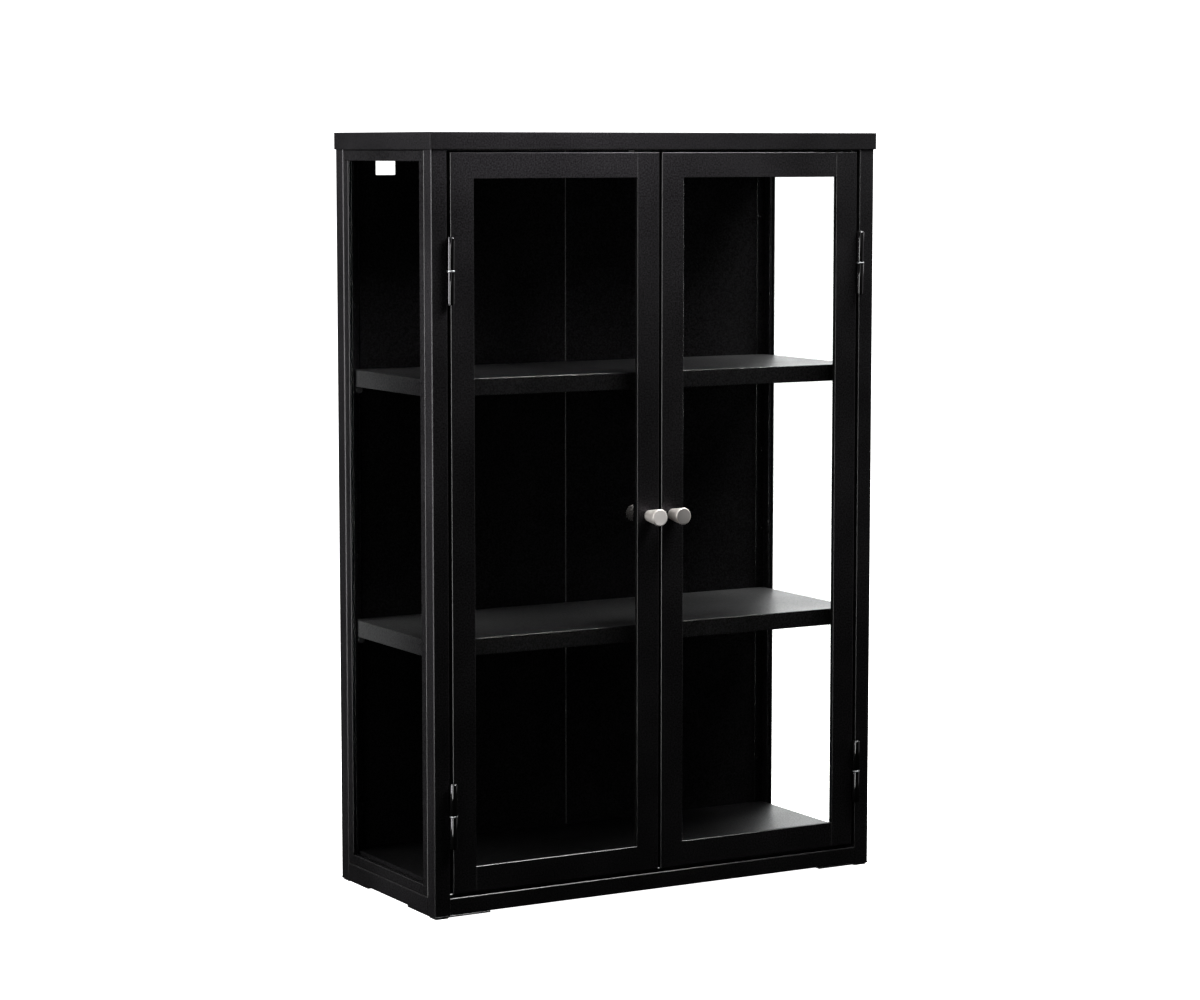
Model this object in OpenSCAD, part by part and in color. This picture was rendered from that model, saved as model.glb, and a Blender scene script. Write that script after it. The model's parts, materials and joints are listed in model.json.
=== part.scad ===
// Two-door glazed steel display cabinet, 600 x 250 x 900 mm over its frame.
// Lengths are in millimetres. The origin is on the floor, below the middle of the cabinet's
// whole depth, knobs included. +X is to the right, +Y to the back and +Z up.
// Inside in_case(), x = 0 is the left posts' outer face and y = 0 the front posts' front face.

/* [Case] */
// Width over the corner posts
case_w = 600; // [480:10:800]
// Depth over the corner posts
case_d = 250; // [200:10:350]
// Height from the floor to the top of the cap
case_h = 900; // [880:10:1000]
// Side of the square tube that the posts and rails are made of
tube = 20; // [20:1:25]
// Wall of the square tube
tube_wall = 1.2; // [1:0.1:2]
// Outer corner radius of the square tube
tube_r = 1.5; // [0.5:0.1:2]

/* [Feet] */
// Thickness of the rubber pad under each post
pad_h = 1.5; // [1:0.5:4]
// Side of the rubber pad
pad_w = 18; // [12:1:20]
// Thickness of the L-shaped plate welded under each corner
plate_t = 2; // [1.5:0.5:4]
// Corner radius of the rubber pad
pad_r = 3; // [1:0.5:5]
// Length of each leg of the corner plate
plate_leg = 72; // [50:1:90]

/* [Top cap] */
// How far the cap stands out past the frame at the front and the sides
cap_out = 2; // [1.5:0.5:5]
// Height of the cap's folded edge
cap_skirt = 20; // [15:1:20]
// Sheet thickness of the cap
cap_sheet = 1; // [0.8:0.1:1.5]

/* [Side windows] */
// Width of the steel bead around each side window
bead_w = 12; // [8:1:16]
// Sheet thickness of the bead
bead_t = 1.2; // [0.8:0.1:1.5]
// How far the bead lies behind the posts' outer face
bead_in = 0.8; // [0:0.1:1.5]
// Thickness of the side glass
side_glass_t = 3; // [3:0.5:4]
// Thickness of the inner strips that hold the side glass
retainer_t = 3.5; // [2:0.1:3.5]

/* [Back] */
// Sheet thickness of the back panels
back_sheet = 0.8; // [0.7:0.1:1.5]
// Depth of the back panels' folded flanges
back_flange = 18; // [12:1:18]
// Gap between a back panel and what it fits into
back_gap = 0.4; // [0.2:0.1:1]
// Width of the wall-hanging slot
slot_w = 26; // [12:1:40]
// Height of the wall-hanging slot
slot_h = 20; // [10:1:20]
// Distance from the case's side to the slot
slot_x = 43; // [35:1:80]
// Distance from the top of the case down to the slot's upper edge
slot_drop = 30; // [28:1:80]

/* [Shelves] */
// Height of the shelves' folded edge
shelf_lip = 20; // [12:1:25]
// Sheet thickness of the shelves and the floor
shelf_sheet = 0.8; // [0.7:0.1:1.5]
// Width of the flange turned in under the shelf's edge
shelf_return = 10; // [6:1:20]
// Distance from the case's side to the end of a shelf
shelf_x = 9; // [9:0.5:12]
// Distance from the posts to the front and back edges of a shelf
shelf_gap = 0.5; // [0.3:0.1:2]
// Height of the floor panel's top
floor_z = 40; // [32:1:60]
// Hole that carries the lower shelf, counted from the bottom one as 0
lower_hole = 2; // [1:1:3]
// Hole that carries the upper shelf, counted from the bottom one as 0
upper_hole = 5; // [4:1:6]

/* [Hole rows] */
// Height of the lowest hole
row_first = 96; // [80:1:110]
// Distance between holes
row_pitch = 100; // [90:5:100]
// Number of holes in a post
row_count = 8; // [7:1:8]
// Distance from the case's side to the row
row_x = 14; // [13:0.5:15]
// Radius of a hole
row_hole_r = 2.6; // [2.5:0.1:3]
// Radius of the shelf pin's shoulder
pin_r = 4; // [3:0.5:5]
// Length of the shelf pin's shoulder
pin_l = 12; // [8:1:16]
// Radius of the shanks that fit the holes
shank_r = 2.5; // [2:0.1:2.5]

/* [Doors] */
// How far the doors lie behind the posts' front face
door_in = 0; // [0:0.5:4]
// Thickness of a door
door_t = 15; // [14:0.5:15]
// Width of the door's frame, seen from the front
stile_w = 30; // [25:1:45]
// Gap between a door and its post
gap_side = 4; // [2.5:0.1:4.4]
// Gap between the two doors
gap_mid = 3; // [2.4:0.1:4]
// Gap between the doors and the cap
gap_top = 2.7; // [2:0.1:5]
// Gap between the doors and the bottom rail
gap_bottom = 4.2; // [2:0.1:6]
// Depth of the frame in front of the glass
lip_t = 5; // [4:0.5:6]
// Width of the step that the glass sits in
rebate_w = 10; // [6:1:12]
// Wall of the door's profile
door_wall = 1.2; // [1:0.1:1.5]
// Thickness of the door glass
door_glass_t = 3; // [3:0.5:4]
// Width of the strips that hold the door glass from behind
strip_w = 4; // [3:0.5:8]

/* [Hinges] */
// Radius of the hinge barrel
barrel_r = 4.25; // [4:0.05:5]
// Radius of the hinge pin
hinge_pin_r = 2.5; // [2:0.1:2.5]
// Radial clearance of the pin in the door's barrel
hinge_fit = 0.05; // [0.02:0.01:0.1]
// Length of the hinge barrel, both halves
barrel_l = 76.5; // [60:0.5:90]
// Thickness of the washer between the halves
washer_t = 1.8; // [1:0.1:2.5]
// Radius of the washer
washer_r = 4.6; // [4.4:0.1:5]
// Distance of the hinge axis in front of the posts
hinge_out = 5; // [4.5:0.5:7]
// Height of the middle of the upper hinge
hinge_upper_z = 744; // [650:1:800]
// Height of the middle of the lower hinge
hinge_lower_z = 120; // [90:1:250]
// Thickness of the leaf that joins a barrel to its post or door
leaf_t = 1; // [0.8:0.1:1]

/* [Knobs] */
// Length of a knob
knob_l = 27; // [20:1:35]
// Radius of the knob's outer end
knob_tip_r = 10; // [8:0.5:12]
// Radius of the knob where it meets the door
knob_base_r = 6.75; // [5:0.25:8]
// Chamfer round the knob's outer end
knob_chamfer = 0.8; // [0.3:0.1:1.5]
// Distance from the middle of the case to a knob
knob_x = 16; // [14:0.5:18]
// Height of the knobs
knob_z = 452; // [400:1:520]
// Radius of the knob's screw
knob_screw_r = 2; // [1.5:0.1:2.5]

/* [Catch] */
// Width of the double magnetic catch
catch_w = 48; // [44:1:60]
// Depth of the catch
catch_d = 14; // [10:1:20]
// Height of the catch
catch_h = 37; // [34:1:37]
// Width and height of a strike plate
strike_w = 15; // [12:1:16]
// Thickness of a strike plate
strike_t = 1; // [0.8:0.1:1.2]

/* [Hidden] */
$fn = 48;

// Cuts run this far past the faces they open
over = 1;
// Seam left between members that butt
seam = 0.2;

paint = "#1c1c1e";
bare_steel = "#b9b7b2";
zinc = "#9a9c9e";
rubber = "#2a2a2a";
clear_glass = [0.80, 0.88, 0.88, 0.35];

// Heights
frame_z = pad_h + plate_t;
rail_top_z = frame_z + tube;
cap_under_z = case_h - cap_sheet;
top_rail_z = cap_under_z - tube;
skirt_z = case_h - cap_skirt;
post_h = cap_under_z - frame_z;

// Depths
knob_out = knob_l - door_in;
front_y = (knob_out - case_d) / 2;
back_y = case_d - tube;

// Side windows, outwards to inwards
bead_x = bead_in;
side_glass_x = bead_x + bead_t;
retainer_x = side_glass_x + side_glass_t;
window_d = case_d - 2 * tube;
window_z = rail_top_z;
window_h = top_rail_z - rail_top_z;

// Back panels; their upper edges meet the rail above
back_panel_x = tube + back_gap;
back_panel_w = case_w / 2 - back_panel_x - back_gap;
back_panel_z = rail_top_z + back_gap;
back_panel_h = window_h - back_gap;
flange_y = back_y + back_flange / 2;

// Doors; x runs from the hinge edge of the left door
door_x = tube + gap_side;
door_w = (case_w - gap_mid) / 2 - door_x;
door_z = rail_top_z + gap_bottom;
door_h = skirt_z - gap_top - door_z;
door_back_y = door_in + door_t;
box_w = stile_w - rebate_w;
glass_y = door_in + lip_t;
glass_gap = 1;

// Hinges; half_l is the length of one half, and the washer lies in the split between the two
hinge_x = tube + gap_side / 2;
hinge_split = 2;
half_l = (barrel_l - hinge_split) / 2;
ring_h = 1.2;
ring_in = 0.6;
barrel_end = 4;
pin_play = 3;
washer_fit = 0.1;
leaf_back_y = 16;
leaf_clear = 0.4;

// Screws, bolts and nuts
head_r = 4.5;
head_h = 2.6;
head_taper = 0.72;
cross_l = 3.8;
cross_w = 1;
cross_h = 1.2;
bolt_r = 1.75;
bolt_clear = 0.1;
bolt_end = 4;
nut_r = 4;
nut_h = 3.2;
knob_screw_in = 12;
knob_screw_play = 2;

// Magnetic catch
catch_drop = 3;
catch_top_z = cap_under_z - catch_drop;
catch_z = catch_top_z - catch_h;
catch_plate_t = 1;
catch_plate_z = top_rail_z + 1;
magnet_w = 14;
magnet_rise = 1;
magnet_h = 11;
magnet_gap = 0.3;
panel_screw_zs = [row_first + 24, case_h / 2, case_h - row_first - 24];
row_zs = [for (k = [0 : row_count - 1]) row_first + k * row_pitch];

module in_case() translate([-case_w / 2, front_y, 0]) children();
module mirrored() mirror([1, 0, 0]) children();
module block(from, to) translate(from) cube(to - from);

// Turns +Z geometry so that it points to the back (+Y) or to the front (-Y)
module to_back() rotate([-90, 0, 0]) children();
module to_front() rotate([90, 0, 0]) children();

// ---- square tube -------------------------------------------------------

module rounded_square(w, r) {
  translate([r, 0]) square([w - 2 * r, w]);
  translate([0, r]) square([w, w - 2 * r]);
  for (x = [r, w - r], y = [r, w - r]) translate([x, y]) circle(r);
}

module square_tube(length) linear_extrude(length) difference() {
  rounded_square(tube, tube_r);
  translate([tube_wall, tube_wall]) square(tube - 2 * tube_wall);
}

// Rail from one side post to the other
module rail_along_x(y, z) color(paint) in_case()
  translate([tube, y, z]) rotate([90, 0, 90]) square_tube(case_w - 2 * tube);

// Rail from the front post to the rear post of the left side
module rail_along_y(z) color(paint) in_case()
  translate([0, tube, z + tube]) to_back() square_tube(window_d);

// Front post of the left side, with its hole row in the face towards the shelves
module front_post() color(paint) in_case() difference() {
  translate([0, 0, frame_z]) square_tube(post_h);
  for (z = row_zs) translate([row_x, tube - tube_wall - over, z])
    to_back() cylinder(r = row_hole_r, h = tube_wall + 2 * over);
}

// Rear post of the left side, with the hole row and the holes for the back panel's screws
module rear_post() color(paint) in_case() difference() {
  translate([0, back_y, frame_z]) square_tube(post_h);
  for (z = row_zs) translate([row_x, back_y - over, z])
    to_back() cylinder(r = row_hole_r, h = tube_wall + 2 * over);
  for (z = panel_screw_zs) translate([tube - tube_wall - over, flange_y, z])
    rotate([0, 90, 0]) cylinder(r = bolt_r + bolt_clear, h = tube_wall + 2 * over);
}

module post_front_left() front_post();
module post_front_right() mirrored() front_post();
module post_rear_left() rear_post();
module post_rear_right() mirrored() rear_post();

module bottom_rail_front() rail_along_x(0, frame_z);
module bottom_rail_rear() rail_along_x(back_y, frame_z);
module bottom_rail_left() rail_along_y(frame_z);
module bottom_rail_right() mirrored() rail_along_y(frame_z);
module top_rail_front() rail_along_x(0, top_rail_z);
module top_rail_rear() rail_along_x(back_y, top_rail_z);
module top_rail_left() rail_along_y(top_rail_z);
module top_rail_right() mirrored() rail_along_y(top_rail_z);

// ---- cap, floor and shelves --------------------------------------------

// Folded tray over the frame, open at the back
module top_cap() color(paint) in_case() difference() {
  block([-cap_out, -cap_out, skirt_z], [case_w + cap_out, case_d, case_h]);
  block(
    [cap_sheet - cap_out, cap_sheet - cap_out, skirt_z - over],
    [case_w + cap_out - cap_sheet, case_d + over, cap_under_z]
  );
}

// Sheet folded down at its four edges, with the edges turned in below
module folded_tray(top, lip) color(paint) in_case() {
  low = [shelf_x, tube + shelf_gap, top - lip];
  high = [case_w - shelf_x, back_y - shelf_gap, top];
  wall = [shelf_sheet, shelf_sheet, shelf_sheet];
  turned = [shelf_sheet + shelf_return, shelf_sheet + shelf_return, 0];
  difference() {
    block(low, high);
    block(low + wall, high - wall);
    block(low + turned - [0, 0, over], high - turned - wall);
  }
}

module floor_panel() folded_tray(floor_z, floor_z - rail_top_z);
module shelf_upper() folded_tray(row_zs[upper_hole] + pin_r + shelf_lip, shelf_lip);
module shelf_lower() folded_tray(row_zs[lower_hole] + pin_r + shelf_lip, shelf_lip);

// A pin or screw of the left side, pushed into a front and a rear post at height z
module in_hole_row(z) {
  translate([row_x, tube, z]) to_back() children();
  translate([row_x, back_y, z]) to_front() children();
}

// Shoulder, then the shank that sits in the post's wall
module shelf_pin() {
  cylinder(r = pin_r, h = pin_l);
  translate([0, 0, -tube_wall - over]) cylinder(r = shank_r, h = tube_wall + 2 * over);
}

module shelf_pins() color(bare_steel) for (side = [0, 1]) mirror([side, 0, 0])
  in_case() for (k = [lower_hole, upper_hole]) in_hole_row(row_zs[k]) shelf_pin();

// Pan head with a cross recess
module pan_screw(length, shank) {
  difference() {
    cylinder(r1 = head_r, r2 = head_r * head_taper, h = head_h);
    for (turn = [0, 90]) rotate(turn)
      translate([-cross_l / 2, -cross_w / 2, head_h - cross_h])
        cube([cross_l, cross_w, cross_h + over]);
  }
  translate([0, 0, -length]) cylinder(r = shank, h = length + over / 2);
}

module post_screws() color(paint) for (side = [0, 1]) mirror([side, 0, 0])
  in_case() for (z = [row_zs[0], row_zs[row_count - 1]])
    in_hole_row(z) pan_screw(tube_wall + bolt_end, shank_r);

// ---- back --------------------------------------------------------------

// Sheet with its four edges folded to the back, the hanging slot and the fixing holes
module back_panel() color(paint) in_case() difference() {
  low = [back_panel_x, back_y, back_panel_z];
  high = low + [back_panel_w, back_flange, back_panel_h];
  wall = [back_sheet, 0, back_sheet];
  slot_top = case_h - slot_drop;
  block(low, high);
  block(low + wall + [0, back_sheet, 0], high - wall + [0, over, 0]);
  block(
    [slot_x, back_y - over, slot_top - slot_h],
    [slot_x + slot_w, back_y + back_sheet + over, slot_top]
  );
  for (z = panel_screw_zs) translate([back_panel_x - over, flange_y, z])
    rotate([0, 90, 0]) cylinder(r = bolt_r + bolt_clear, h = back_panel_w + 2 * over);
}

module back_panel_left() back_panel();
module back_panel_right() mirrored() back_panel();

// Screws through the outer flanges into the rear posts
module back_panel_screws() color(zinc) for (side = [0, 1]) mirror([side, 0, 0])
  in_case() for (z = panel_screw_zs)
    translate([back_panel_x + back_sheet, flange_y, z])
      rotate([0, 90, 0]) pan_screw(back_sheet + back_gap + tube_wall + bolt_end, bolt_r);

// Bolts and nuts that join the two panels at the seam
module seam_bolts() color(zinc) in_case() for (z = panel_screw_zs) {
  grip = 2 * (back_sheet + back_gap);
  translate([case_w / 2 - grip / 2, flange_y, z]) rotate([0, -90, 0])
    pan_screw(grip + nut_h + bolt_end / 2, bolt_r);
  translate([case_w / 2 + grip / 2, flange_y, z]) rotate([0, 90, 0]) difference() {
    cylinder(r = nut_r, h = nut_h, $fn = 6);
    translate([0, 0, -over]) cylinder(r = bolt_r, h = nut_h + 2 * over);
  }
}

// ---- side windows ------------------------------------------------------

// Four flat strips round the left side's window; the upright ones stop on the level ones
module window_strips(x, thickness) in_case() {
  z_top = window_z + window_h;
  y_back = tube + window_d;
  for (z = [window_z, z_top - bead_w])
    block([x, tube, z], [x + thickness, y_back, z + bead_w]);
  for (y = [tube, y_back - bead_w])
    block([x, y, window_z + bead_w + seam], [x + thickness, y + bead_w, z_top - bead_w - seam]);
}

module side_bead_frame_left() color(paint) window_strips(bead_x, bead_t);
module side_bead_frame_right() mirrored() side_bead_frame_left();
module side_retainer_left() color(paint) window_strips(retainer_x, retainer_t);
module side_retainer_right() mirrored() side_retainer_left();

module side_glass_left() color(clear_glass) in_case() block(
  [side_glass_x, tube + glass_gap, window_z + glass_gap],
  [side_glass_x + side_glass_t, back_y - glass_gap, window_z + window_h - glass_gap]
);
module side_glass_right() mirrored() side_glass_left();

// ---- feet --------------------------------------------------------------

module at_corners() for (side = [0, 1]) mirror([side, 0, 0]) in_case() {
  children();
  translate([0, case_d, 0]) mirror([0, 1, 0]) children();
}

// L-shaped plate under the post and the two rails that meet there
module corner_plates() color(paint) at_corners() translate([0, 0, pad_h])
  linear_extrude(plate_t) {
    square([plate_leg, tube]);
    square([tube, plate_leg]);
  }

module foot_pads() color(rubber) at_corners()
  translate([(tube - pad_w) / 2, (tube - pad_w) / 2, 0]) linear_extrude(pad_h)
    rounded_square(pad_w, pad_r);

// ---- doors -------------------------------------------------------------

// Section of the door's hollow profile: the front lip, then the narrower box behind it.
// x runs from the door's outer edge towards the glass and y to the back.
module door_section(inset) {
  e = inset;
  polygon([
    [e, e], [stile_w - e, e], [stile_w - e, lip_t - e], [box_w - e, lip_t - e],
    [box_w - e, door_t - e], [e, door_t - e]
  ]);
}

// Upright of the left door; closed at both ends
module stile(height) difference() {
  linear_extrude(height) door_section(0);
  translate([0, 0, door_wall]) linear_extrude(height - 2 * door_wall) door_section(door_wall);
}

// Level member between the stiles, with its lip along the bottom of its section
module door_rail() {
  lip_l = door_w - 2 * stile_w - 2 * seam;
  box_l = door_w - 2 * box_w - 2 * seam;
  difference() {
    union() {
      block([stile_w + seam, 0, 0], [stile_w + seam + lip_l, lip_t, stile_w]);
      block([box_w + seam, lip_t, 0], [box_w + seam + box_l, door_t, box_w]);
    }
    block(
      [stile_w + seam + door_wall, door_wall, door_wall],
      [stile_w + seam + lip_l - door_wall, lip_t - door_wall, stile_w - door_wall]
    );
    block(
      [box_w + seam + door_wall, lip_t + door_wall, door_wall],
      [box_w + seam + box_l - door_wall, door_t - door_wall, box_w - door_wall]
    );
  }
}

module left_door_hinge_stile() color(paint) in_case()
  translate([door_x, door_in, door_z]) stile(door_h);

// The knob's screw passes through both walls of the lock stile
module left_door_lock_stile() color(paint) in_case() difference() {
  translate([door_x + door_w, door_in, door_z]) mirrored() stile(door_h);
  translate([case_w / 2 - knob_x, door_in - over, knob_z])
    to_back() cylinder(r = knob_screw_r + bolt_clear, h = door_t + 2 * over);
}

module left_door_bottom_rail() color(paint) in_case()
  translate([door_x, door_in, door_z]) door_rail();
module left_door_top_rail() color(paint) in_case()
  translate([door_x, door_in, door_z + door_h]) mirror([0, 0, 1]) door_rail();

module right_door_hinge_stile() mirrored() left_door_hinge_stile();
module right_door_lock_stile() mirrored() left_door_lock_stile();
module right_door_top_rail() mirrored() left_door_top_rail();
module right_door_bottom_rail() mirrored() left_door_bottom_rail();

module left_door_glass() color(clear_glass) in_case() block(
  [door_x + box_w + glass_gap, glass_y, door_z + box_w + glass_gap],
  [
    door_x + door_w - box_w - glass_gap, glass_y + door_glass_t,
    door_z + door_h - box_w - glass_gap
  ]
);
module right_door_glass() mirrored() left_door_glass();

// Strips in the rebate, behind the edges of the glass
module left_door_glazing_strips() color(paint) in_case() {
  y0 = glass_y + door_glass_t;
  x0 = door_x + box_w + seam;
  x1 = door_x + door_w - box_w - seam;
  z0 = door_z + box_w + seam;
  z1 = door_z + door_h - box_w - seam;
  for (z = [z0, z1 - strip_w]) block([x0, y0, z], [x1, door_back_y, z + strip_w]);
  for (x = [x0, x1 - strip_w])
    block([x, y0, z0 + strip_w + seam], [x + strip_w, door_back_y, z1 - strip_w - seam]);
}
module right_door_glazing_strips() mirrored() left_door_glazing_strips();

// ---- hinges ------------------------------------------------------------

module at_hinge(z) in_case() translate([hinge_x, -hinge_out, z]) children();

// Barrel standing on z = 0 with a narrower ring at its outer end and a blind bore of radius r
module barrel(r) difference() {
  union() {
    cylinder(r = barrel_r, h = half_l - ring_h);
    cylinder(r = barrel_r - ring_in, h = half_l);
  }
  translate([0, 0, -over]) cylinder(r = r, h = half_l - barrel_end + over);
}

// Leaf from the barrel's back into the gap, lying on the face at x
module leaf(x) difference() {
  translate([x, 0, 0]) cube([leaf_t, leaf_back_y + hinge_out, half_l - ring_h]);
  translate([0, 0, -over]) cylinder(r = hinge_pin_r + leaf_clear, h = half_l + 2 * over);
}

// Lower half, welded to the post, with the pin standing in it
module post_half(z) color(paint) at_hinge(z) mirror([0, 0, 1])
  translate([0, 0, hinge_split / 2]) {
    barrel(hinge_pin_r);
    leaf(-gap_side / 2);
  }

// Upper half, welded to the door's edge; it lifts off the pin
module door_half(z) color(paint) at_hinge(z) translate([0, 0, hinge_split / 2]) {
  barrel(hinge_pin_r + hinge_fit);
  leaf(gap_side / 2 - leaf_t);
}

module hinge_upper_left_post_half() post_half(hinge_upper_z);
module hinge_upper_left_door_half() door_half(hinge_upper_z);
module hinge_lower_left_post_half() post_half(hinge_lower_z);
module hinge_lower_left_door_half() door_half(hinge_lower_z);
module hinge_upper_right_post_half() mirrored() post_half(hinge_upper_z);
module hinge_upper_right_door_half() mirrored() door_half(hinge_upper_z);
module hinge_lower_right_post_half() mirrored() post_half(hinge_lower_z);
module hinge_lower_right_door_half() mirrored() door_half(hinge_lower_z);

module at_all_hinges() for (side = [0, 1], z = [hinge_upper_z, hinge_lower_z])
  mirror([side, 0, 0]) at_hinge(z) children();

// Each pin fills the lower bore and stops short of the upper one's end
module hinge_pins() color(bare_steel) at_all_hinges() {
  depth = half_l - barrel_end;
  translate([0, 0, -hinge_split / 2 - depth])
    cylinder(r = hinge_pin_r, h = hinge_split + 2 * depth - pin_play);
}

module hinge_washers() color(bare_steel) at_all_hinges()
  translate([0, 0, -hinge_split / 2]) difference() {
    cylinder(r = washer_r, h = washer_t);
    translate([0, 0, -over]) cylinder(r = hinge_pin_r + washer_fit, h = washer_t + 2 * over);
  }

// ---- knobs -------------------------------------------------------------

// Half section of the knob, from its base at z = 0 to its outer end
module knob_outline() {
  base_round = 2;
  polygon([
    [0, 0],
    [knob_base_r - base_round, 0],
    for (a = [15 : 15 : 75])
      [knob_base_r - base_round * (1 - sin(a)), base_round * (1 - cos(a))],
    [knob_base_r, base_round],
    [knob_tip_r, knob_l - knob_chamfer],
    [knob_tip_r - knob_chamfer, knob_l],
    [0, knob_l]
  ]);
}

module at_knob() in_case() translate([case_w / 2 - knob_x, door_in, knob_z]) children();

module left_knob() color(bare_steel) at_knob() to_front() difference() {
  rotate_extrude() knob_outline();
  translate([0, 0, -over]) cylinder(r = knob_screw_r, h = knob_screw_in + over);
}
module right_knob() mirrored() left_knob();

// Screw from the back of the stile into the knob
module left_knob_screw() color(zinc) at_knob() translate([0, door_t, 0]) to_back()
  pan_screw(door_t + knob_screw_in - knob_screw_play, knob_screw_r);
module right_knob_screw() mirrored() left_knob_screw();

// ---- catch -------------------------------------------------------------

// Housing on a thin plate that is fixed to the back of the front top rail, and two magnets
// that reach forward to the doors' strike plates
module magnetic_catch() color(rubber) in_case() {
  x0 = (case_w - catch_w) / 2;
  y0 = tube + catch_plate_t;
  block([x0, y0, catch_z], [x0 + catch_w, tube + catch_d, catch_top_z]);
  block([x0, tube, catch_plate_z], [x0 + catch_w, y0, catch_top_z]);
  for (side = [-1, 1]) translate([case_w / 2 + side * knob_x, 0, catch_z + magnet_rise]) block(
    [-magnet_w / 2, door_back_y + strike_t + magnet_gap, 0],
    [magnet_w / 2, y0, magnet_h]
  );
}

// Plate on the back of the door's lock stile, in front of its magnet
module left_strike_plate() color(zinc) in_case()
  translate([case_w / 2 - knob_x, door_back_y, catch_z])
    block([-strike_w / 2, 0, 0], [strike_w / 2, strike_t, strike_w]);
module right_strike_plate() mirrored() left_strike_plate();

post_front_left();
post_front_right();
post_rear_left();
post_rear_right();
bottom_rail_front();
bottom_rail_rear();
bottom_rail_left();
bottom_rail_right();
top_rail_front();
top_rail_rear();
top_rail_left();
top_rail_right();
top_cap();
floor_panel();
back_panel_left();
back_panel_right();
side_bead_frame_left();
side_bead_frame_right();
side_glass_left();
side_glass_right();
side_retainer_left();
side_retainer_right();
shelf_upper();
shelf_lower();
shelf_pins();
post_screws();
back_panel_screws();
seam_bolts();
corner_plates();
foot_pads();
left_door_hinge_stile();
left_door_lock_stile();
left_door_top_rail();
left_door_bottom_rail();
right_door_hinge_stile();
right_door_lock_stile();
right_door_top_rail();
right_door_bottom_rail();
left_door_glass();
right_door_glass();
left_door_glazing_strips();
right_door_glazing_strips();
hinge_upper_left_post_half();
hinge_upper_left_door_half();
hinge_lower_left_post_half();
hinge_lower_left_door_half();
hinge_upper_right_post_half();
hinge_upper_right_door_half();
hinge_lower_right_post_half();
hinge_lower_right_door_half();
hinge_pins();
hinge_washers();
left_knob();
right_knob();
left_knob_screw();
right_knob_screw();
magnetic_catch();
left_strike_plate();
right_strike_plate();
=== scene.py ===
"""Looks of a two-door glazed steel display cabinet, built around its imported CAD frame.

Lengths are in metres in the CAD's own frame: +X to the right, +Y to the back, +Z up, the floor at z = 0.
"""
import json
import math

import bmesh
import bpy
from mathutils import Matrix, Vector


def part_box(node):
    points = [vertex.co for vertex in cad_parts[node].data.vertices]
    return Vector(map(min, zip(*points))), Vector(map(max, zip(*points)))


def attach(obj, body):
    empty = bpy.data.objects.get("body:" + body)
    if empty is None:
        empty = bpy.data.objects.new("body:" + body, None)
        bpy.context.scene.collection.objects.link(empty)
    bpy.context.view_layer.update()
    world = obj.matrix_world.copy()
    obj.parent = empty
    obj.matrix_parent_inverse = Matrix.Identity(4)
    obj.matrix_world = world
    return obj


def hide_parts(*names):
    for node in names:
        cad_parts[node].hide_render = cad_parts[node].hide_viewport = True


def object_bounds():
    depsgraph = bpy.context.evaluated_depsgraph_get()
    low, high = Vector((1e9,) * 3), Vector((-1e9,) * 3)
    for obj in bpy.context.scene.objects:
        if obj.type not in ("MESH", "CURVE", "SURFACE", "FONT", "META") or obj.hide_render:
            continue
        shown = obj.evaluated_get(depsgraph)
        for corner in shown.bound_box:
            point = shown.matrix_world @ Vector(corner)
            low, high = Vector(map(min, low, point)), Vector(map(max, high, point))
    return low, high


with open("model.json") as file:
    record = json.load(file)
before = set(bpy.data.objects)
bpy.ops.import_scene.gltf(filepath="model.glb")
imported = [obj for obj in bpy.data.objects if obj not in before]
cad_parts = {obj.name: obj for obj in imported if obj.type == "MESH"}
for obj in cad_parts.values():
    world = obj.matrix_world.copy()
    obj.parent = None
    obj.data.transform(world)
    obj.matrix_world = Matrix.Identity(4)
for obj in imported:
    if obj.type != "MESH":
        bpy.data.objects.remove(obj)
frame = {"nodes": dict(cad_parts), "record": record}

CAD_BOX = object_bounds()
LOW, HIGH = CAD_BOX
CENTRE = (LOW + HIGH) / 2
MM = 0.001

scene = bpy.context.scene


# ---- node helpers --------------------------------------------------------


def tree_of(name, kind):
    """A new material or world with an empty node tree, and that tree."""
    holder = kind.new(name)
    holder.use_nodes = True
    holder.node_tree.nodes.clear()
    return holder, holder.node_tree


def feed(tree, socket, value):
    """Links a node's output to the socket, or sets the socket to a number or colour."""
    if isinstance(value, bpy.types.NodeSocket):
        tree.links.new(value, socket)
    else:
        socket.default_value = value


def add(tree, kind, inputs=None, **settings):
    """A node with its settings, and its inputs by name or index."""
    node = tree.nodes.new(kind)
    for key, value in settings.items():
        setattr(node, key, value)
    for key, value in (inputs or {}).items():
        feed(tree, node.inputs[key], value)
    return node


def grey(value):
    return (value, value, value, 1.0)


def calc(tree, operation, *values, use_clamp=False):
    """The result of a Math node's operation on the values."""
    return add(
        tree, "ShaderNodeMath", dict(enumerate(values)), operation=operation, use_clamp=use_clamp,
    ).outputs[0]


def place(tree):
    """The point in the piece's own axes, in metres."""
    return add(tree, "ShaderNodeTexCoord").outputs["Object"]


def own_normal(tree):
    """The normal in the piece's own axes."""
    return add(tree, "ShaderNodeTexCoord").outputs["Normal"]


def turned_normal(tree, normal, start, end):
    """The normal taken from the start space to the end space, WORLD or OBJECT."""
    return add(
        tree, "ShaderNodeVectorTransform", {"Vector": normal},
        vector_type="NORMAL", convert_from=start, convert_to=end,
    ).outputs[0]


def split(tree, vector):
    """The vector's outputs X, Y and Z."""
    return add(tree, "ShaderNodeSeparateXYZ", {"Vector": vector}).outputs


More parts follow.
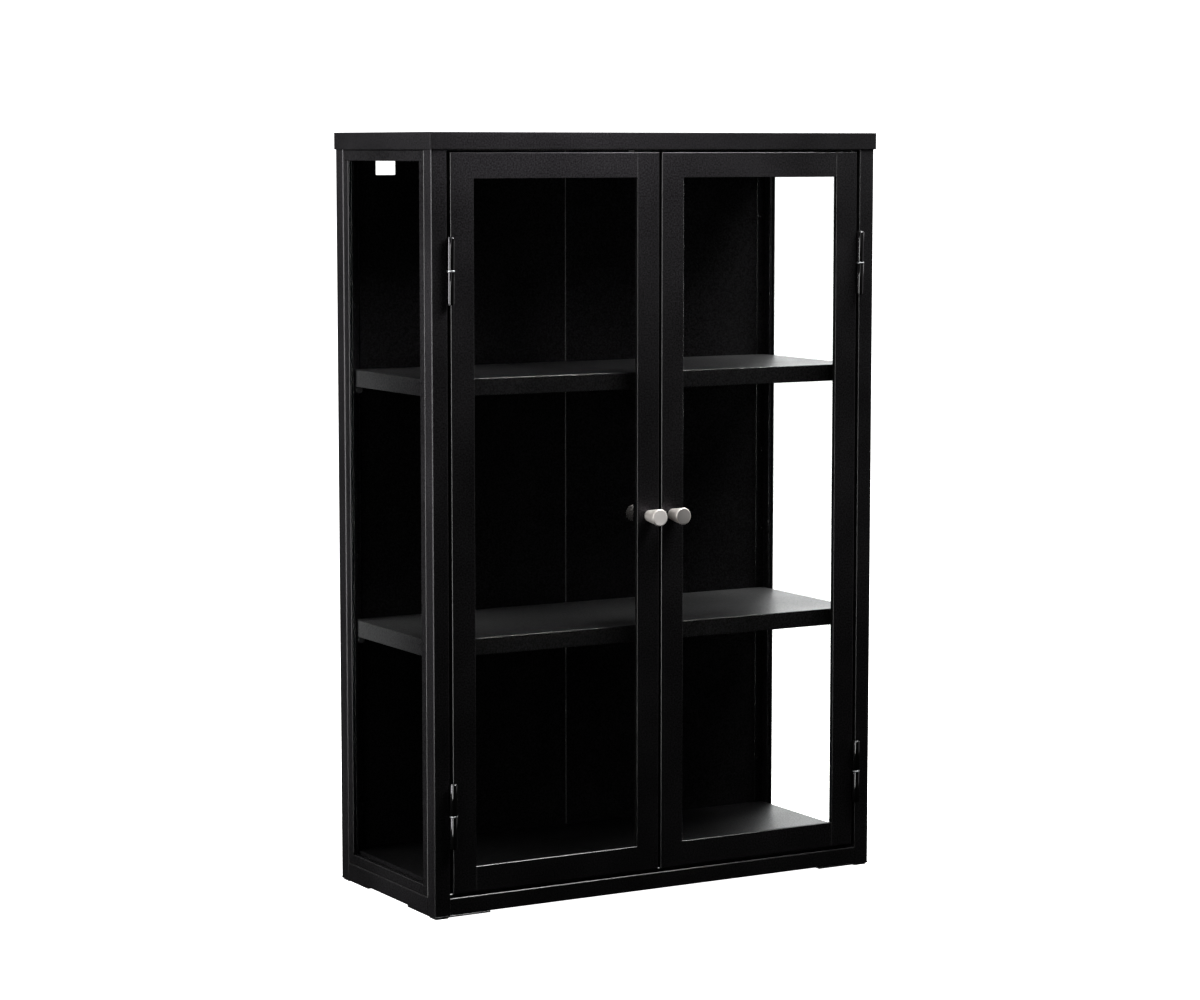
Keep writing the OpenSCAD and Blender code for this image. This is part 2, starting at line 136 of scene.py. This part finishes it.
def noise(tree, point, scale, detail, stretch=None):
    """Noise from 0 to 1 with about scale cells to the metre; stretch scales each axis first."""
    if stretch:
        point = add(tree, "ShaderNodeMapping", {"Vector": point, "Scale": stretch}).outputs[0]
    return add(
        tree, "ShaderNodeTexNoise", {"Vector": point, "Scale": scale, "Detail": detail, "Roughness": 0.5},
    ).outputs["Fac"]


def ranged(tree, value, low, high, start=0.3, end=0.7):
    """value's range from start to end, spread over low to high; the default is the range most noise keeps to."""
    return add(
        tree, "ShaderNodeMapRange",
        {"Value": value, "From Min": start, "From Max": end, "To Min": low, "To Max": high},
    ).outputs["Result"]


def blend(tree, share, a, b):
    """a where share is 0 and b where it is 1, both numbers."""
    return ranged(tree, share, a, b, 0.0, 1.0)


def mixed(tree, share, a, b):
    """a where share is 0 and b where it is 1, both colours."""
    node = add(tree, "ShaderNodeMix", data_type="RGBA")
    for key, value in ((0, share), (6, a), (7, b)):
        feed(tree, node.inputs[key], value)
    return node.outputs[2]


def bump(tree, height, depth, strength, normal=None):
    inputs = {"Height": height, "Distance": depth, "Strength": strength}
    if normal:
        inputs["Normal"] = normal
    return add(tree, "ShaderNodeBump", inputs).outputs["Normal"]


def finish_material(material, tree, shader):
    output = add(tree, "ShaderNodeOutputMaterial")
    tree.links.new(shader.outputs[0], output.inputs["Surface"])
    return material


# ---- powder coat ---------------------------------------------------------

# Noise cells to the metre, and the relief's depths
CLOUD_SCALE = 9
GRAIN_SCALE = 1400
PEEL_SCALE = 560
SPECKLE_SCALE = 520
GRAIN_DEPTH = 0.03 * MM
PEEL_DEPTH = 0.12 * MM

EDGE_ROUNDING = 1.3 * MM
BEVEL_SAMPLES = 6
# Half the width of the lines of painted highlight
SEAM_HIGHLIGHT_HALF = 0.45 * MM
COAT_DARK, COAT_LIGHT = 0.0020, 0.0036
COAT_TINT = (0.95, 0.87, 1.0, 1.0)
SPECKLE_SPREAD = 0.6
ROUGHNESS_SPREAD = 0.08
EDGE_ROUGHNESS = 0.22
EDGE_RELIEF = 0.03

# A normal's part along its main axis, from an edge's rounding to a flat face, and from a slope to a level face
EDGE_TO_FLAT = (0.82, 0.97)
SLOPE_TO_LEVEL = (0.95, 0.99)
# Where a shelf's painted light towards the back starts, and where it is full
BACK_LIGHT_DEPTHS = (-0.06, 0.12)


def seam_highlight_mask(tree, at, highlight_seams, axis):
    """1 on thin upright lines of painted highlight, given as (place along axis, lowest z, highest z), and 0
    elsewhere.
    """
    parts = split(tree, at)
    total = None
    for middle, low, high in highlight_seams:
        across = calc(tree, "ABSOLUTE", calc(tree, "SUBTRACT", parts[axis], middle))
        line = ranged(tree, across, 1.0, 0.0, SEAM_HIGHLIGHT_HALF * 0.5, SEAM_HIGHLIGHT_HALF)
        line = calc(tree, "MULTIPLY", line, calc(tree, "GREATER_THAN", parts["Z"], low))
        line = calc(tree, "MULTIPLY", line, calc(tree, "LESS_THAN", parts["Z"], high))
        total = line if total is None else calc(tree, "MAXIMUM", total, line)
    return total


def edge_share(tree, normal):
    """1 on an edge's rounding and 0 on the flat faces, from the normal in the piece's own axes."""
    parts = split(tree, normal)
    x, y, z = (calc(tree, "ABSOLUTE", parts[axis]) for axis in "XYZ")
    return ranged(tree, calc(tree, "MAXIMUM", calc(tree, "MAXIMUM", x, y), z), 1.0, 0.0, *EDGE_TO_FLAT)


def powder_coat(
    name, rounding=EDGE_ROUNDING, level=0.22, edge_level=1.0, top_level=None, roughness=0.36, relief=1.0,
    shade=1.0, painted_back_light=None, highlight_seams=(), seam_axis="X", seam_highlight_grey=0.03,
):
    """Satin black powder coat: orange peel under a finer grain, cloudy changes of gloss, and glossier edges.

    rounding is the radius by which the shading rounds the edges, 0 for a mesh that is round already. level is the
    specular level of the faces, edge_level of the edges, and top_level, if given, of the faces that look up.
    relief scales the grain and peel, and shade the black; a shade above 1 is painted light. dust, if given, is the
    grey of painted light that lightens the coat towards the back. seam_highlight_grey is the lighter grey of the
    thin lines that seams
    draw: painted highlights, and on the doors weld lines whose highlight is painted.
    """
    material, tree = tree_of(name, bpy.data.materials)
    at = place(tree)
    cloud = noise(tree, at, CLOUD_SCALE, 3)
    grain = noise(tree, at, GRAIN_SCALE, 1)
    peel = noise(tree, at, PEEL_SCALE, 1)
    colour = mixed(tree, ranged(tree, cloud, 0, 1), grey(COAT_DARK * shade), grey(COAT_LIGHT * shade))
    # Painted light: the coat turns to a lighter grey towards the back.
    if painted_back_light:
        back_light_share = ranged(tree, split(tree, at)["Y"], 0, 1, *BACK_LIGHT_DEPTHS)
        colour = mixed(tree, back_light_share, colour, grey(painted_back_light))
    # Painted highlights: thin lines in a lighter grey.
    if highlight_seams:
        colour = mixed(tree, seam_highlight_mask(tree, at, highlight_seams, seam_axis), colour, grey(seam_highlight_grey))
    if rounding:
        rounded = add(tree, "ShaderNodeBevel", {"Radius": rounding}, samples=BEVEL_SAMPLES).outputs[0]
        facing = turned_normal(tree, rounded, "WORLD", "OBJECT")
    else:
        rounded = None
        facing = own_normal(tree)
    edge = edge_share(tree, facing)
    spread = relief * SPECKLE_SPREAD
    speckle = ranged(tree, noise(tree, at, SPECKLE_SCALE, 1), level * (1 - spread), level * (1 + spread))
    if top_level is not None:
        speckle = ranged(tree, split(tree, facing)["Z"], speckle, top_level, *SLOPE_TO_LEVEL)
    clouded = ranged(tree, cloud, roughness, roughness + ROUGHNESS_SPREAD)
    strength = blend(tree, edge, relief, relief * EDGE_RELIEF)
    shader = add(tree, "ShaderNodeBsdfPrincipled", {
        "Base Color": colour,
        "Roughness": blend(tree, edge, clouded, min(EDGE_ROUGHNESS, roughness)),
        "Specular IOR Level": blend(tree, edge, speckle, edge_level),
        "Specular Tint": mixed(tree, edge, COAT_TINT, grey(1.0)),
        "Normal": bump(tree, grain, GRAIN_DEPTH, strength, bump(tree, peel, PEEL_DEPTH, strength, rounded)),
    })
    return finish_material(material, tree, shader)


# ---- other materials -----------------------------------------------------

STEEL_DARK, STEEL_LIGHT = (0.76, 0.71, 0.67, 1), (0.88, 0.83, 0.79, 1)
STEEL_END = (0.82, 0.78, 0.75)
# A normal's Y on a knob's end face, and just off it
END_TO_SIDE = (-0.99, -0.95)

GLASS_IOR = 1.5
GLASS_TINT = (0.972, 0.977, 0.974, 1)
# How much both faces of a pane mirror together, next to one
BOTH_FACES = 1.9


def black_paint():
    return powder_coat("black_powder_coat", edge_level=0.7)


def turned_steel(name, lean, painted_end_tone):
    """Turned and brushed steel: lathe lines round the sides, and an end face that leans up by lean.

    tone dims the end face's colour, a painted shade; the left knob's lighter tone is painted light.
    """
    material, tree = tree_of(name, bpy.data.materials)
    at = place(tree)
    lines = noise(tree, at, 900, 2, stretch=(0.08, 6.0, 0.08))
    brush = noise(tree, at, 1500, 2, stretch=(1.0, 0.1, 0.06))
    cloud = noise(tree, at, 60, 2)
    parts = split(tree, own_normal(tree))
    raised = calc(tree, "ADD", parts["Z"], ranged(tree, parts["Y"], lean, 0.0, *END_TO_SIDE))
    leant = add(tree, "ShaderNodeCombineXYZ", {"X": parts["X"], "Y": parts["Y"], "Z": raised}).outputs[0]
    colour = mixed(tree, ranged(tree, cloud, 0, 1), STEEL_DARK, STEEL_LIGHT)
    painted_end_colour = (*(part * painted_end_tone for part in STEEL_END), 1)
    colour = mixed(tree, ranged(tree, parts["Y"], 1.0, 0.0, *END_TO_SIDE), colour, painted_end_colour)
    shader = add(tree, "ShaderNodeBsdfPrincipled", {
        "Base Color": colour,
        "Metallic": ranged(tree, brush, 0.55, 0.70),
        "Roughness": ranged(tree, lines, 0.32, 0.44),
        "Normal": bump(tree, lines, 0.01 * MM, 0.3, turned_normal(tree, leant, "OBJECT", "WORLD")),
    })
    return finish_material(material, tree, shader)


def knob_steel():
    # The end face is dimmed to a painted shade.
    return turned_steel("turned_steel", 0.0, 0.45)


def zinc_steel():
    """Zinc-plated steel: dull, slightly blue and mottled."""
    material, tree = tree_of("zinc_plate", bpy.data.materials)
    mottle = noise(tree, place(tree), 500, 3)
    shader = add(tree, "ShaderNodeBsdfPrincipled", {
        "Base Color": mixed(tree, ranged(tree, mottle, 0, 1), (0.34, 0.35, 0.36, 1), (0.52, 0.53, 0.54, 1)),
        "Metallic": 1.0,
        "Roughness": ranged(tree, mottle, 0.30, 0.48),
        "Normal": bump(tree, mottle, 0.01 * MM, 0.3),
    })
    return finish_material(material, tree, shader)


def clear_glass():
    """A pane of float glass. Each pane's near face mirrors for both of its faces, and both faces tint."""
    material, tree = tree_of("float_glass", bpy.data.materials)
    mirror = add(tree, "ShaderNodeFresnel", {"IOR": GLASS_IOR}).outputs[0]
    behind = add(tree, "ShaderNodeNewGeometry").outputs["Backfacing"]
    near = calc(tree, "SUBTRACT", BOTH_FACES, calc(tree, "MULTIPLY", BOTH_FACES, behind))
    share = calc(tree, "MULTIPLY", mirror, near, use_clamp=True)
    clear = add(tree, "ShaderNodeBsdfTransparent", {"Color": GLASS_TINT}).outputs[0]
    gloss = add(tree, "ShaderNodeBsdfGlossy", {"Roughness": 0.01}).outputs[0]
    return finish_material(material, tree, add(tree, "ShaderNodeMixShader", {"Fac": share, 1: clear, 2: gloss}))


def dull_black(name, scale, dark, light, roughnesses, relief):
    """A matt black rubber or plastic with a grain of that scale and that relief, (depth, strength)."""
    material, tree = tree_of(name, bpy.data.materials)
    grain = noise(tree, place(tree), scale, 2)
    shader = add(tree, "ShaderNodeBsdfPrincipled", {
        "Base Color": mixed(tree, ranged(tree, grain, 0, 1), grey(dark), grey(light)),
        "Roughness": ranged(tree, grain, *roughnesses),
        "Normal": bump(tree, grain, *relief),
    })
    return finish_material(material, tree, shader)


def rubber_pad():
    return dull_black("pad_rubber", 900, 0.012, 0.022, (0.85, 0.85), (0.05 * MM, 0.5))


def catch_plastic():
    return dull_black("catch_nylon", 700, 0.014, 0.020, (0.5, 0.6), (0.03 * MM, 0.4))


MATERIALS = {
    make.__name__: make()
    for make in (black_paint, knob_steel, zinc_steel, clear_glass, rubber_pad, catch_plastic)
}


# ---- the CAD nodes -------------------------------------------------------

# Rounding of the edges in mm, by the start of a node's name; the first match counts
ROUNDING = (
    ("post_screws", 0.2), ("post_", 0.0), ("bottom_rail", 0.0), ("top_rail", 0.0),
    ("top_cap", 0.45), ("shelf_pins", 0.3), ("shelf", 0.38), ("floor", 0.38), ("back_panel_screws", 0.2),
    ("back_panel", 0.35), ("seam_bolts", 0.2), ("side_bead", 0.5), ("side_glass", 0.3),
    ("side_retainer", 0.4), ("corner_plates", 0.4), ("foot_pads", 0.4), ("hinge_pins", 0.2),
    ("hinge_washers", 0.25), ("hinge", 0.3), ("magnetic", 0.4), ("left_strike", 0.2),
    ("right_strike", 0.2), ("left_door_glass", 0.3), ("right_door_glass", 0.3),
    ("left_door_glazing", 0.5), ("right_door_glazing", 0.5), ("left_knob_screw", 0.2),
    ("right_knob_screw", 0.2), ("left_knob", 0.5), ("right_knob", 0.5), ("", 0.0),
)
WELD_DISTANCE = 1e-6
FLAT_ANGLE = math.radians(0.5)
SHARP_ANGLE = math.radians(35)
ROUNDING_STEPS = 3

# The painted highlight line where the bead meets a front post: its distance from the post's rear face, and from its
# ends
POST_HIGHLIGHT_LINE = 1.3 * MM
POST_HIGHLIGHT_ENDS = 20 * MM
# The painted highlight line of the right back panel's fold, from its edge
FOLD_HIGHLIGHT_LINE = 0.5 * MM


def round_edges(node, width):
    """Rounds a CAD node's sharp edges by modifiers, which leave its mesh as it is."""
    weld = node.modifiers.new("join", "WELD")
    weld.merge_threshold = WELD_DISTANCE
    flat = node.modifiers.new("flat", "DECIMATE")
    flat.decimate_type = "DISSOLVE"
    flat.angle_limit = FLAT_ANGLE
    if width:
        bevel = node.modifiers.new("edges", "BEVEL")
        bevel.width = width * MM
        bevel.segments = ROUNDING_STEPS
        bevel.limit_method = "ANGLE"
        bevel.angle_limit = SHARP_ANGLE
        bevel.harden_normals = True


def own_materials():
    """The materials of the nodes that differ from their slot's, by the node's name."""
    own = {
        # Painted light: the left knob's end face is a lighter grey than the right's.
        "left_knob": turned_steel("turned_steel_left", 0.22, 0.76),
        "top_cap": powder_coat("black_powder_coat_cap", level=0.17, edge_level=0.4, top_level=0.03),
        # Painted light: the shelves' coats are lighter than the rest, the lower one most, and grey towards the back.
        "shelf_upper": powder_coat("black_powder_coat_upper_shelf", shade=1.5, painted_back_light=0.03),
        "shelf_lower": powder_coat("black_powder_coat_lower_shelf", level=0.27, shade=3, painted_back_light=0.05),
    }
    bead_paint = powder_coat("black_powder_coat_bead", level=0.17)
    for side in ("left", "right"):
        own[f"side_bead_frame_{side}"] = bead_paint
        low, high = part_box(f"post_front_{side}")
        # A painted highlight: a lighter grey line down each front post's rear edge, by the bead.
        own[f"post_front_{side}"] = powder_coat(
            f"black_powder_coat_{side}_post", edge_level=0.7, seam_axis="Y", seam_highlight_grey=0.22,
            highlight_seams=((high.y - POST_HIGHLIGHT_LINE, low.z + POST_HIGHLIGHT_ENDS, high.z - POST_HIGHLIGHT_ENDS),),
        )
    low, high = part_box("back_panel_right")
    # A painted highlight: a lighter grey line down the back panel's fold.
    own["back_panel_right"] = powder_coat(
        "black_powder_coat_back", highlight_seams=((low.x + FOLD_HIGHLIGHT_LINE, low.z, high.z),), seam_highlight_grey=0.14)
    hinge_paint = powder_coat("black_powder_coat_hinge", rounding=0, level=0.8, roughness=0.1, relief=0.05)
    own["post_screws"] = hinge_paint
    own.update((name, hinge_paint) for name in frame["nodes"] if name.startswith("hinge_") and name.endswith("half"))
    return own


def dress_cad_nodes():
    own = own_materials()
    slot_of = {part["node"]: part["material_slot"] for part in frame["record"]["subparts"]}
    for name, node in frame["nodes"].items():
        for held in node.material_slots:
            held.material = own.get(name, MATERIALS[slot_of[name]])
        round_edges(node, next(width for start, width in ROUNDING if name.startswith(start)))


dress_cad_nodes()


# ---- pieces in mesh code -------------------------------------------------

# Section of the doors' frame: the lip in front of the glass, and the narrower box behind it
LIP_DEPTH = 5 * MM
BOX_WIDTH = 20 * MM
# The frame's inner faces, in a matt coat that paints their shade, start this far behind its front
INNER_FROM = 0.2 * MM
WELD_INSET = 1.5 * MM
ARC_STEPS = 5
SMOOTH_ANGLE = math.radians(30)

# The tape's distance from the flanges beside it, and from their ends
TAPE_CLEAR = 0.05 * MM
TAPE_INSET = 1 * MM


def rounded_outline(corners):
    """The outline through corners, each (u, v, radius), with an arc of that radius at each corner."""
    outline = []
    count = len(corners)
    for i, (u, v, radius) in enumerate(corners):
        here = Vector((u, v))
        if not radius:
            outline.append(here)
            continue
        before = (Vector(corners[i - 1][:2]) - here).normalized()
        after = (Vector(corners[(i + 1) % count][:2]) - here).normalized()
        middle = here + (before + after) * radius
        for k in range(ARC_STEPS + 1):
            turn = math.radians(90 * k / ARC_STEPS)
            outline.append(middle - after * radius * math.cos(turn) - before * radius * math.sin(turn))
    return outline


def new_piece(name, mesh):
    """The mesh as a piece in the scene, its faces turned outwards."""
    bmesh.ops.recalc_face_normals(mesh, faces=mesh.faces)
    data = bpy.data.meshes.new(name)
    mesh.to_mesh(data)
    mesh.free()
    piece = bpy.data.objects.new(name, data)
    scene.collection.objects.link(piece)
    return piece


def swept_frame(name, low, high, outline):
    """A closed frame round the box from low to high: outline's points are (inwards, backwards), mitred at corners.

    The faces that look inwards, behind the front edge, take the second material, a painted shade.
    """
    mesh = bmesh.new()
    rings = []
    for x, z, right, up in (
        (low.x, low.z, 1, 1), (high.x, low.z, -1, 1), (high.x, high.z, -1, -1), (low.x, high.z, 1, -1),
    ):
        rings.append([mesh.verts.new((x + right * u, low.y + v, z + up * u)) for u, v in outline])
    for i, ring in enumerate(rings):
        following = rings[(i + 1) % len(rings)]
        for k, start in enumerate(outline):
            m = (k + 1) % len(outline)
            end = outline[m]
            face = mesh.faces.new((ring[k], ring[m], following[m], following[k]))
            face.smooth = True
            face.material_index = int(min(start.x, end.x) >= BOX_WIDTH and min(start.y, end.y) >= INNER_FROM)
    piece = new_piece(name, mesh)
    piece.data.set_sharp_from_angle(angle=SMOOTH_ANGLE)
    evened = piece.modifiers.new("even", "WEIGHTED_NORMAL")
    evened.keep_sharp = True
    return piece


def door_frame(side, seamed, inner_shade_paint):
    """A door's four members as one welded frame. seamed says which of its corners show a weld line, drawn in a
    lighter grey that paints its highlight.
    """
    members = [f"{side}_door_{part}" for part in ("hinge_stile", "lock_stile", "top_rail", "bottom_rail")]
    boxes = [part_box(node) for node in members]
    low = Vector(map(min, *(box[0] for box in boxes)))
    high = Vector(map(max, *(box[1] for box in boxes)))
    width = boxes[0][1].x - boxes[0][0].x
    depth = high.y - low.y
    outline = rounded_outline((
        (0, 0, 1.8 * MM), (width, 0, 0.9 * MM), (width, LIP_DEPTH, 0.3 * MM),
        (BOX_WIDTH, LIP_DEPTH, 0), (BOX_WIDTH, depth, 0.8 * MM), (0, depth, 1.2 * MM),
    ))
    inner = {"left": low.x + width, "right": high.x - width}
    heights = {"bottom": (low.z + WELD_INSET, low.z + width), "top": (high.z - width, high.z - WELD_INSET)}
    # Weld lines in a lighter grey: the welds are real, their highlight is painted.
    highlight_seams = [(inner[end], *heights[level]) for level, end in seamed]
    piece = swept_frame(f"{side}_door_frame", low, high, outline)
    piece.data.materials.append(powder_coat(f"black_powder_coat_{side}_door", rounding=0, highlight_seams=highlight_seams))
    piece.data.materials.append(inner_shade_paint)
    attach(piece, f"{side}_door")
    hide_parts(*members)


def seam_tape():
    """The strip of sealing tape between the flanges where the two back panels are bolted together."""
    left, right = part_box("back_panel_left"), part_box("back_panel_right")
    low = Vector((left[1].x + TAPE_CLEAR, right[0].y + TAPE_INSET, right[0].z))
    high = Vector((right[0].x - TAPE_CLEAR, right[1].y - TAPE_INSET, right[1].z))
    width, depth = high.x - low.x, high.y - low.y
    outline = rounded_outline([(u, v, width / 4) for u, v in ((0, 0), (width, 0), (width, depth), (0, depth))])
    mesh = bmesh.new()
    ends = [[mesh.verts.new((low.x + u, low.y + v, z)) for u, v in outline] for z in (low.z, high.z)]
    for k in range(len(outline)):
        m = (k + 1) % len(outline)
        mesh.faces.new((ends[0][k], ends[0][m], ends[1][m], ends[1][k]))
    for end in ends:
        mesh.faces.new(end)
    piece = new_piece("back_seam_tape", mesh)
    piece.data.materials.append(MATERIALS["rubber_pad"])
    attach(piece, "cabinet")


# Painted shade: a coat that hardly reflects, for the door frames' inner faces.
inner_shade_coat = powder_coat("black_powder_coat_inside", rounding=0, level=0.04, edge_level=0.04, relief=0.3)
door_frame("left", (("top", "right"), ("bottom", "left")), inner_shade_coat)
door_frame("right", (("top", "right"), ("bottom", "right")), inner_shade_coat)
seam_tape()


# ---- stage, lights and camera --------------------------------------------

FLOOR_SIDE = 60.0
FLOOR_GREY = 0.86
FLOOR_GLOW = 1.3
# The world's strength where the camera sees it, and where the cabinet mirrors it
BACKDROP = 1.7
WORLD_GLOW = 3.9

# The camera: its direction and distance from AIM, which it looks at, and its focal length in mm
CAMERA_AZIMUTH = -29.805
CAMERA_ELEVATION = 6.188
CAMERA_DISTANCE = 3.93
CAMERA_LENS = 97.59
AIM = CENTRE + Vector((-0.013, 0.009, 0.009))

# Softboxes: name, what it aims at, azimuth and elevation from there in degrees, distance, width, height, watts
FRONT_TOP = Vector((CENTRE.x, LOW.y, HIGH.z))
FRONT_TOP_LEFT = Vector((-0.12, LOW.y, HIGH.z))
SOFTBOXES = (
    ("key_softbox", FRONT_TOP_LEFT, 34, 30, 0.55, 0.3, 0.2, 4.4),
    ("top_softbox", FRONT_TOP, 0, 62, 0.42, 1.0, 0.2, 3.4),
    ("front_softbox", CENTRE, 20, 40, 1.6, 0.5, 0.5, 0.6),
    ("right_softbox", CENTRE, 70, 0, 1.5, 0.6, 1.0, 1.0),
    ("left_softbox", CENTRE, -105, 15, 1.8, 1.0, 2.0, 64),
    ("back_right_softbox", CENTRE, 125, 10, 2.0, 0.8, 0.8, 8),
    ("camera_softbox", CENTRE, -30, 22, 2.5, 1.0, 1.0, 1.5),
    ("edge_softbox", CENTRE, -60, -2, 2.6, 0.6, 1.4, 18),
    ("upper_edge_softbox", CENTRE, 66, 60, 1.55, 1.0, 0.6, 65),
)


def toward(azimuth, elevation):
    """The unit vector from the cabinet out to that azimuth and elevation; azimuth 0 is the front."""
    a, e = math.radians(azimuth), math.radians(elevation)
    return Vector((math.sin(a) * math.cos(e), -math.cos(a) * math.cos(e), math.sin(e)))


def put(name, data, aim, azimuth, elevation, distance):
    """A lamp or camera at that direction and distance from aim, turned to it."""
    holder = bpy.data.objects.new(name, data)
    out = toward(azimuth, elevation)
    holder.location = aim + out * distance
    holder.rotation_mode = "QUATERNION"
    holder.rotation_quaternion = (-out).to_track_quat("-Z", "Y")
    scene.collection.objects.link(holder)
    return holder


def make_floor():
    material, tree = tree_of("pale_floor", bpy.data.materials)
    shader = add(tree, "ShaderNodeBsdfPrincipled", {
        "Base Color": grey(FLOOR_GREY),
        "Roughness": 0.9,
        "Specular IOR Level": 0.0,
        "Emission Color": grey(1.0),
        "Emission Strength": FLOOR_GLOW,
    })
    finish_material(material, tree, shader)
    half = FLOOR_SIDE / 2
    mesh = bpy.data.meshes.new("floor")
    mesh.from_pydata([(-half, -half, 0), (half, -half, 0), (half, half, 0), (-half, half, 0)], [], [(0, 1, 2, 3)])
    mesh.materials.append(material)
    floor = bpy.data.objects.new("floor", mesh)
    scene.collection.objects.link(floor)
    floor.visible_glossy = False
    floor.visible_diffuse = False


def make_world():
    """A white studio whose reflected light comes only from behind the cabinet, at the right, above the floor."""
    world, tree = tree_of("studio", bpy.data.worlds)
    parts = split(tree, add(tree, "ShaderNodeTexCoord").outputs["Generated"])
    right = ranged(tree, parts["X"], 0.0, 1.0, -0.15, 0.25)
    back = ranged(tree, parts["Y"], 0.0, 1.0, -0.1, 0.5)
    up = ranged(tree, parts["Z"], 0.0, WORLD_GLOW, 0.0, 0.06)
    light = calc(tree, "MULTIPLY", calc(tree, "MULTIPLY", back, up), right)
    seen = add(tree, "ShaderNodeLightPath").outputs["Is Camera Ray"]
    strength = add(tree, "ShaderNodeMix", {0: seen, 2: light, 3: BACKDROP}).outputs[0]
    shade = add(tree, "ShaderNodeBackground", {"Color": grey(1.0), "Strength": strength})
    output = add(tree, "ShaderNodeOutputWorld")
    tree.links.new(shade.outputs[0], output.inputs["Surface"])
    scene.world = world


def make_lights():
    for name, aim, azimuth, elevation, distance, width, height, watts in SOFTBOXES:
        lamp = bpy.data.lights.new(name, "AREA")
        lamp.shape = "RECTANGLE"
        lamp.size = width
        lamp.size_y = height
        lamp.energy = watts
        put(name, lamp, aim, azimuth, elevation, distance)


def make_camera():
    camera = bpy.data.cameras.new("camera")
    camera.lens = CAMERA_LENS
    scene.camera = put("camera", camera, AIM, CAMERA_AZIMUTH, CAMERA_ELEVATION, CAMERA_DISTANCE)


make_floor()
make_world()
make_lights()
make_camera()
scene.view_settings.view_transform = "Standard"
